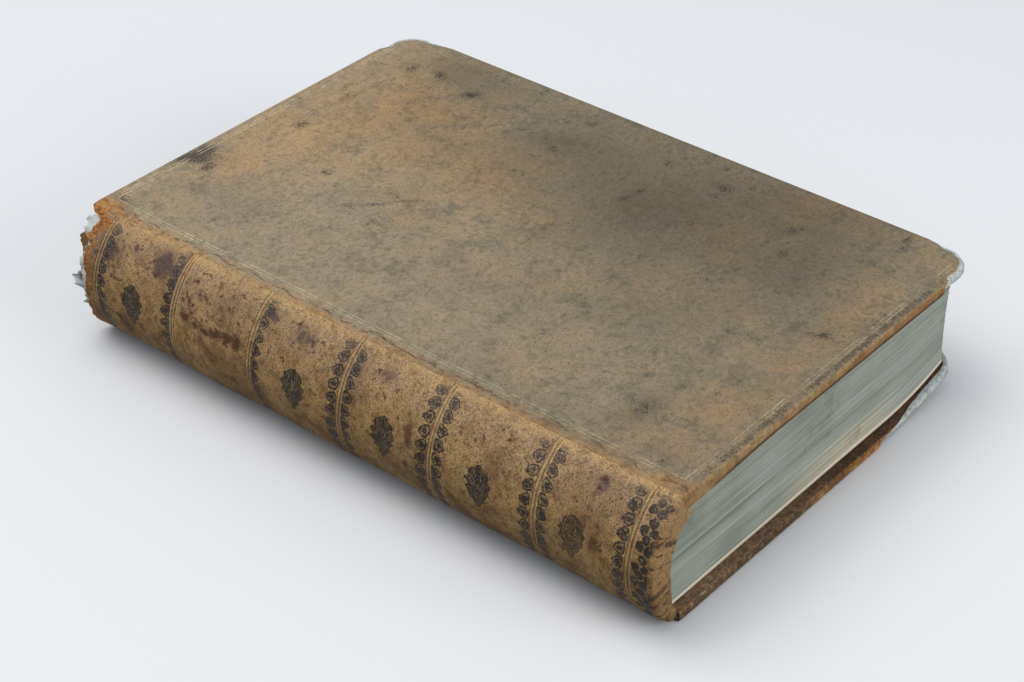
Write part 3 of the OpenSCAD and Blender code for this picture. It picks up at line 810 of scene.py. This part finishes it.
coverLook = colours(
    stone=(151, 138, 115), tan=(168, 138, 99), umber=(95, 85, 70), violet=(58, 50, 54), worn=(166, 128, 80),
    foldDark=(82, 54, 30), gold=(176, 146, 102), rollDark=(64, 54, 42), lineLight=(190, 178, 142),
    inside=(122, 98, 76), insideBack=(86, 64, 46), torn=(176, 132, 84), soil=(70, 58, 46),
    rust=(168, 112, 56))


def coverFinish(name, isBack):
    # Tan leather: noises of several lengths mix its tints and break up its marks
    paint = newPaint(name, coverLook, "stone", 0.85, 0.25)
    noise, lay = paint.noise, paint.lay
    rowX, rowY, _ = paint.place()
    x, y = rowX - shift[0], rowY - shift[1]
    warm, dark, pale, stain, shade = paint.fields("warm dark pale stain shade")
    fold, down, torn = paint.fields("fold down torn")
    clouds, blotches = noise(26, 4, 0.55), noise(11, 4, 0.6)
    mottle, fine = noise(6, 5, 0.65), noise(2.6, 5, 0.7)
    bright, grains, blots = speckle(paint, 0.36, 1.3)
    lay("tan", warm * 0.85 + clouds * 1.2 + blotches * 1.1 + mottle * 0.9 + fine * 1.2 + 0.02)
    # Umber follows the dark marks: partly painted shade, partly the leather's own dark tone
    lay("umber", least(dark, 0.95) * 0.66 + mottle * 1.9 + fine * 2.4 + blotches * 1.3, 0.08, 1.04, 0.66)
    # The brightness follows the shade field and the dark and pale marks: painted shade and painted sheen,
    # partly the leather's own tone
    bright = bright * shade * (1.06 + 0.11 * pale - 0.13 * dark + mottle * 1.1 + fine * 1.3 + blotches * 0.9)

    # Blue-black stains, small dark flecks all over, and fine pale scratches
    lay("violet", stain + mottle * 1.8 + blots * 2.2 + grains * 1.2, 0.3, 1.1, 0.85)
    lay("violet", noise(1.7, 4, 0.7), 0.14, 0.22, 0.55)
    drawn = paint.joined(x * 0.16 + y * 0.1, y * 1.4 - x * 0.5)
    bright = bright + ramp(noise(1.6, 2, 0.5, drawn), 0.18, 0.26) * 0.14

    # Tooled border: two light lines and a dark dotted roll outside them
    tailIn, sideIn = least(y, high - y), least(x - 1.6, wide - x)
    inFrom, jitter = least(tailIn, sideIn), noise(1.6)
    alongEdge, shaken = x + (y - x) * beyond(tailIn, sideIn), inFrom + jitter * 0.4
    lines = ramp(size(shaken - 4.5), 0.32, 0.12) + ramp(size(shaken - 3.2), 0.3, 0.12) * 0.9
    dots = size(offMiddle(alongEdge + jitter * 3, 1.7)) * 0.5 + size(inFrom - 1.9 + jitter) * 0.6
    roll = ramp(dots + noise(0.7, 3, 0.6) * 4.5, 0.95, 0.4) * ramp(sideIn, 4, 9)
    roll = roll * ramp(y, high, high - 40)
    kept, face = ramp(noise(9, 4, 0.6), -0.12, 0.02), ramp(down, 0.12, 0.03)
    lay("lineLight", lines * kept * face * (0.7 - 0.45 * ramp(x, wide - 14, wide - 7)))
    lay("rollDark", roll * (0.4 + 0.6 * kept) * face * 0.58)

    # Worn gold-brown leather along the joint and over the edges, darker under them
    byJoint = ramp(x - 4 * ramp(tailIn, 20, 2) + mottle * 7, 4.6, -0.6)
    worn = most(byJoint * 0.8, ramp(fold + mottle * 0.9, 0.4, 0.95))
    golden = paint.mix(ramp(mottle, -0.15, 0.15), "worn", "gold")
    golden = paint.mix(byJoint * ramp(fine, -0.14, 0.1) * 0.55, golden, "rust")
    inside = "inside"
    if isBack:
        # The lower edge is darker near the spine and rust-brown further on
        low = ramp(tailIn, 8, 2)
        golden = paint.mix(ramp(size(x - 88 + mottle * 20), 34, 10) * low * 0.8, golden, "rust")
        soiled = ramp(x + mottle * 50, 90, 54) * low * ramp(blots + (0.5 - down) * 0.16, -0.24, 0.0)
        golden = paint.mix(soiled * 0.9, golden, "soil")
        bright = bright * (1 + worn * (ramp(noise(1.3, 3, 0.6), -0.15, 0.15) - 0.55) * 0.5)
        # The turned-in leather inside the back board darkens towards the fore-edge: painted shadow
        inside = paint.mix(ramp(x + mottle * 50, 40, 90), "inside", "insideBack")
    else:
        golden = paint.mix(ramp(x + mottle * 60, 50, 125) * 0.5 * ramp(down, 0.1, 0.3), golden, "rust")
    lay(golden, worn)
    lay("foldDark", down + mottle * 0.35, 0.5, 0.85, ramp(x, 6, 24) * (0.3 if isBack else 0.92))
    lay(inside, down, 0.93, 0.99)
    # Fine dark cracks where the leather bends at the joint, rubbed orange at its head
    crack = ramp(size(x - 2.6 + blotches * 9), 0.6, 0.1) * ramp(fine, -0.06, 0.08) * face
    lay("foldDark", crack * 0.75)
    lay("rust", x + mottle * 8, 7, 1, ramp(y, high - 15, high - 4) * 0.58)
    lay("torn", blots, -0.15, 0.1, torn * ramp(down, 0.97, 0.8))
    paint.feed(paint.shader, {"Roughness": 0.78 + grains * 0.2 + pale * 0.05})
    height = grains * 0.12 + blots * 0.7 + noise(4.2, 4, 0.6) * 1.1 - crack * 0.9
    return paint.finish(bright, height - (roll * 0.6 + lines * 0.5) * kept * face, 0.6, 0.3)


coverFinish("tan_cover_leather", False).onto(frontLeather)
coverFinish("tan_back_leather", True).onto(backLeather)

spineColours = colours(
    tan=(142, 110, 68), gold=(172, 138, 88), brown=(98, 68, 40), violet=(66, 50, 54), red=(66, 38, 26),
    ink=(19, 15, 15), inkHeart=(78, 62, 44), inkGrey=(36, 32, 42), speck=(164, 154, 126),
    dusty=(150, 128, 102), grainDark=(74, 54, 38), torn=(170, 106, 46), cap=(146, 114, 72),
    capDark=(52, 38, 26), lineLight=(184, 156, 108))


def spineFinish():
    # Mottled tints and marks, then the inked tooling, the torn head, the joints and the cap
    paint = newPaint("tooled_spine_leather", spineColours, "tan", 0.8, 0.3)
    noise, lay = paint.noise, paint.lay
    paint.place()
    u, y, torn, cap, joint, dull, capMarks = paint.fields("round up torn cap joint dull capMarks")
    purple, red, smear = paint.fields("purple red smear")
    mottle, patches = noise(4.6, 5, 0.66), noise(2.9, 4, 0.62)
    bright, grains, blots = speckle(paint, 0.56, 1.1)
    lay("gold", noise(17, 4, 0.6) + mottle * 0.9, -0.12, 0.12)
    lay("brown", noise(9, 4, 0.6) + dull * 0.12 - u * 0.0035, 0.0, 0.18, 0.75)
    lay("dusty", u + mottle * 30, 2, 24, 0.55)
    lay("grainDark", grains + blots * 1.2, 0.0, -0.5, 0.36)
    lay("brown", patches + mottle * 0.7 + dull * 0.06 - u * 0.0012, 0.06, 0.2, 0.7)
    bright = bright * (1.1 + u * 0.003 + mottle * 1.1 - patches * 0.5)
    broken = mottle * 1.9 + blots * 2.2 + grains * 0.5
    lay("violet", purple + broken * 1.5, 0.35, 1.15, 0.85)
    lay("red", red + broken, 0.35, 1.0, 0.8)
    lay("red", smear + broken * 1.3, 0.42, 0.8, 0.9)

    # The tooling: unsteady outlines, ink worn off in places and grey towards the upper joint
    shake = noise(1.5)
    us, ys = u + shake * 1.5, y + noise(1.4, 2, 0.5, paint.scaled(paint.at, 1.13)) * 1.5
    inReach = ramp(size(u), tooling["reach"] + 0.6, tooling["reach"] - 1.4)
    bead, cluster, inside = beadDistance(us, ys), clusterDistance(us, ys), fleuronInside(us, ys)
    onRows = beyond(y, tooling["clusterTop"])
    far = cluster + (bead - cluster) * onRows
    flowerInk = pick(y, tooling["fleurons"], tooling["fleuronInk"])
    shape = most(ramp(far, 1.06, 0.92) * inReach, ramp(inside, -0.1, 0.2) * flowerInk)
    heart = most(ramp(far, 0.78, 0.5) * inReach, ramp(inside, 0.45, 0.8))
    # Light lines inside the stamps: one ring in each bead, rings and cross lines in each fleuron
    rings = ramp(size(bead - 0.6), 0.2, 0.06) * inReach * onRows * 0.74
    scrolls = ramp(size(sine(inside * 3.4 + 0.9 * sine(us * 2.6))), 0.62, 0.2) * ramp(inside, 0.35, 0.7)
    lines, rubbed = ramp(lineInside(y + shake * 0.25), -0.12, 0.06), blots + grains * 0.3
    ink = shape * ramp(noise(2.4, 4, 0.7) - u * 0.0018, -0.24, -0.12)
    ink = ink * (1 - most(rings, scrolls) * ramp(rubbed, -0.12, 0.04) * 0.78) * ramp(torn, 0.6, 0.1)
    grey = ramp(u + mottle * 16, 6, 24)
    inked = paint.mix(heart * 0.2 * ramp(rubbed, -0.08, 0.14), "ink", "inkHeart")
    lay(paint.mix(grey, inked, "inkGrey"), ink * (0.97 - 0.12 * grey))
    # Pale flecks on the stamps, more towards the upper side of the spine: a painted glint
    lay("speck", blots + u * 0.006, -0.04, 0.12, shape * ramp(noise(0.6, 2, 0.6), 0.05, 0.16) * 0.42)
    # A fillet is a fine dark line with a rubbed light one beside it
    lay("brown", lines * 0.6)
    lay("lineLight", lineInside(y + 0.5), -0.2, 0.1, 0.5)

    # Torn orange fibres at the head, the rubbed joint, and the creased cap at the tail
    lay("gold", mottle, -0.15, 0.1, joint * 0.6)
    fibres = noise(1, 3, 0.6, paint.joined(u * 2.2, y * 0.5))
    lay(paint.mix(ramp(fibres, -0.1, 0.12), "torn", "brown"), torn)
    dented = cap * ramp(noise(2.1, 4, 0.66, bent=0.4) + capMarks * 0.22, 0.12, 0.25)
    lay("cap", mottle, -0.25, 0.1, cap * 0.8)
    lay("capDark", most(dented * 0.85, cap * ramp(blots, 0.1, 0.22) * 0.5))
    paint.feed(paint.shader, {"Roughness": 0.74 + grains * 0.24 - ink * 0.12})
    height = grains * 0.2 + blots * 0.7 + noise(3.0, 4, 0.6) * 1.1 + torn * (fibres + 0.5)
    return paint.finish(bright, height - shape * 0.55 + heart * 0.3 - lines * 0.9 - dented * 1.4, 0.65, 0.3)


spineFinish().onto(spineSheet)

paperLook = colours(
    edgeDark=(118, 123, 112), edge=(147, 154, 143), edgePale=(190, 196, 189), cream=(204, 192, 166),
    rosy=(238, 228, 210), parted=(108, 110, 92), lineLight=(200, 206, 198), brown=(116, 104, 80),
    liner=(206, 210, 208), linerGlue=(118, 90, 58), leaf=(194, 184, 158), foxed=(138, 112, 76))


def leavesFinish():
    # Cut edges of the leaves: noise drawn out along them makes lines that follow them
    paint = newPaint("grey_green_leaf_edges", paperLook, "edgeDark")
    noise, lay = paint.noise, paint.lay
    x, y, _ = paint.place()
    leaf, = paint.fields("leaf")
    single = noise(0.36, 2, 0.5, paint.joined(x * 0.022, y * 0.022, leaf))
    bundle = noise(1.3, 3, 0.6, paint.joined(x * 0.012, y * 0.012, leaf))
    broad = noise(4.5, 3, 0.55, paint.joined(x * 0.05, y * 0.05, leaf * 0.8))
    lay("edgePale", single * 0.6 + bundle * 0.9 + broad + noise(22, 3) * 0.7, -0.45, 0.45)
    lay("edge", 0.45)
    # Cream streaks low down towards the fore-edge, and the cream fly leaf under all the leaves
    streaks = ramp(bundle + broad * 0.5, -0.04, 0.12)
    lay("cream", leaf, 13, 3, ramp(size(x - 14), 40, 8) * (0.35 + 0.65 * streaks))
    lay("cream", bundle, 0.18, 0.26, 0.6)
    lay("rosy", leaf, 1.3, 0.8)
    # Where sections part a dark line of painted shade runs beside a light line of painted highlight
    drift = leaf + broad * 0.8
    for level, start, end, strong in leavesLook["parted"]:
        along = ramp(x - shift[0], start, start + 8) * ramp(x - shift[0], end, end - 14) * strong
        lay("parted", size(drift - level), 1.0, 0.0, along * 0.5)
        lay("lineLight", size(drift - level - 1.1), 0.8, 0.0, along * 0.45)
    lay("brown", noise(12, 4, 0.6), 0.08, 0.22, 0.4)
    return paint.finish(1 + noise(0.7) * 0.22, single * 0.35 + bundle * 0.8, 0.5, 0.25)


def paperFinish():
    # Old rag paper: clouds and foxing on a fibrous base
    paint = newPaint("foxed_rag_paper", paperLook, "leaf")
    paint.place()
    fibres = paint.noise(0.5, 3, 0.6)
    paint.lay("foxed", paint.noise(30, 4, 0.6), -0.05, 0.2, 0.26)
    paint.lay("foxed", paint.noise(5, 4, 0.65), 0.14, 0.24, 0.26)
    return paint.finish(1 + fibres * 0.22, fibres, 0.4, 0.08)


def linerFinish():
    # White liner paper, torn and stained with brown glue
    paint = newPaint("torn_liner_paper", paperLook, "liner")
    paint.place()
    glue, = paint.fields("glue")
    mottle, fibres = paint.noise(3, 4, 0.65), paint.noise(0.5, 3, 0.6)
    paint.lay("linerGlue", glue + mottle * 1.6, 0.35, 0.8)
    paint.lay("linerGlue", mottle, 0.06, 0.2, 0.4)
    return paint.finish(1 + fibres * 0.3, fibres * 0.5 + mottle, 0.6, 0.2)


hiddenLook = colours(
    board=(112, 114, 108), boardPale=(142, 148, 144), bare=(168, 173, 168), barePale=(208, 215, 214),
    boardBrown=(120, 96, 66), cloth=(176, 164, 132), clothGlue=(124, 98, 62), hemp=(150, 124, 82),
    hempDark=(104, 80, 48))


def boardFinish():
    # Grey pasteboard: layered fibres, bleached where it is bare
    paint = newPaint("fibrous_pasteboard", hiddenLook, "board", 0.95, 0.15)
    x, y, z = paint.place()
    bare, = paint.fields("bare")
    layers = paint.noise(1, 3, 0.6, paint.joined(x * 0.25, y * 0.25, z * 2.2))
    fibres, clumps = paint.noise(0.5, 4, 0.7), paint.noise(2.2, 4, 0.65)
    paint.lay("boardPale", clumps, -0.15, 0.15)
    paint.lay(paint.mix(ramp(clumps, -0.14, 0.08), "bare", "barePale"), bare * 0.85)
    paint.lay("boardBrown", paint.noise(1.7, 3, 0.6), 0.12, 0.22, 0.5)
    return paint.finish(1 + fibres * 0.5 + layers * 0.3, fibres * 0.8 + clumps + layers * 0.6, 0.8, 0.35)


def clothFinish():
    # Glued lining cloth: two crossing thread waves under brown glue
    paint = newPaint("glued_lining_cloth", hiddenLook, "cloth")
    x, y, z = paint.place()
    threads = size(sine(y * 4.2)) * 0.5 + size(sine((z + x * 0.3) * 4.2)) * 0.5
    paint.lay("clothGlue", paint.noise(8, 4, 0.6), -0.1, 0.15)
    return paint.finish(0.8 + threads * 0.3, threads, 0.6, 0.2)


def hempFinish():
    # Hemp cords and their hammered ends: strands laid aslant
    paint = newPaint("hemp_cord", hiddenLook, "hemp")
    x, y, z = paint.place()
    strands, fibres = size(sine((x + z) * 3.4 + y * 2.2)), paint.noise(0.6, 3, 0.6)
    paint.lay("hempDark", fibres + 0.5)
    return paint.finish(0.75 + strands * 0.35, strands + fibres * 0.5, 0.7, 0.3)


def solids(*names):
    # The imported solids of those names
    return [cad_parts[name] for name in names]


leavesFinish().onto(leavesBlock)
paperFinish().onto(*solids("front_flyleaf", "back_flyleaf", "front_pastedown", "back_pastedown"))
linerFinish().onto(linerSheet)
boardFinish().onto(frontBoard, backBoard)
clothFinish().onto(*solids("spine_lining"))
hempFinish().onto(*solids("sewing_cords", "front_cord_slips", "back_cord_slips"))
print("materials made")

studio = {
    **colours(floorSeen=(232, 233, 236)),
    "floorLit": (0.16, 0.16, 0.16, 1.0),  # grey that the floor returns to the book
    "skySeen": (0.93, 0.94, 0.95, 1.0),
    "skyLit": (0.43, 0.465, 0.5, 1.0),
    "lampColour": (1.0, 0.97, 0.93),
    # Name, place, size in metres, watts
    "lamps": [("soft_top", (-0.25, 0.35, 1.15), 1.0, 9.0), ("tail_fill", (0.15, -1.15, 0.45), 0.8, 6.5)],
}
viewPoint = {"place": (-0.46570, -0.39403, 0.43597), "heading": 40.287, "tilt": 35.185, "roll": -0.471,
        "lens": 81.73}


def makeFloor():
    # A plain floor: pale to the camera and in reflections, darker for the light it returns
    mesh = bpy.data.meshes.new("floor")
    mesh.from_pydata([(-4, -4, 0), (4, -4, 0), (4, 4, 0), (-4, 4, 0)], [], [(0, 1, 2, 3)])
    floor = bpy.data.objects.new("floor", mesh)
    bpy.context.scene.collection.objects.link(floor)
    paint = newPaint("pale_floor", studio, "floorLit", 0.9, 0.1)
    camera, glossy, clear = (paint.node("LightPath", {}, {}, f"Is {kind} Ray")
            for kind in ("Camera", "Glossy", "Transmission"))
    paint.lay("floorSeen", least(camera + glossy + clear, 1.0))
    paint.feed(paint.shader, {"Base Color": paint.colour})
    paint.onto(floor)


def stand(thing, place, ahead, roll=0.0):
    # Stands a lamp or the camera at a place, facing ahead, turned from straight up by the roll
    ahead = ahead / np.linalg.norm(ahead)
    level = np.cross(ahead, [0, 0, 1])
    level /= np.linalg.norm(level)
    over = np.cross(level, ahead)
    c, s = np.cos(roll), np.sin(roll)
    matrix = np.eye(4)
    matrix[:3] = np.column_stack([level * c + over * s, over * c - level * s, -ahead, place])
    bpy.context.scene.collection.objects.link(thing)
    thing.matrix_world = Matrix(matrix.tolist())


def makeLight():
    # A soft sky that the camera sees as a plain pale ground, and two large lamps
    sky = Paint(bpy.data.worlds.new("studio"), studio, "skyLit", "Background")
    bpy.context.scene.world = sky.owner
    sky.lay("skySeen", sky.node("LightPath", {}, {}, "Is Camera Ray"))
    sky.feed(sky.shader, {"Color": sky.colour})
    for name, place, wideness, watts in studio["lamps"]:
        data = bpy.data.lights.new(name, "AREA")
        data.size, data.energy, data.color = wideness, watts, studio["lampColour"]
        stand(bpy.data.objects.new(name, data), place, -np.array(place))


def makeCamera():
    # The heading is turned from +X towards +Y, the tilt is downwards
    heading, tilt, roll = (rad(viewPoint[key]) for key in ("heading", "tilt", "roll"))
    data = bpy.data.cameras.new("camera")
    data.lens, data.sensor_width, data.clip_start = viewPoint["lens"], 36, 0.01
    camera = bpy.data.objects.new("camera", data)
    ahead = np.array([np.cos(heading) * np.cos(tilt), np.sin(heading) * np.cos(tilt), -np.sin(tilt)])
    stand(camera, viewPoint["place"], ahead, roll)
    bpy.context.scene.camera = camera


makeFloor()
makeLight()
makeCamera()
bpy.context.scene.view_settings.view_transform = "Standard"
print("floor, light and camera made")
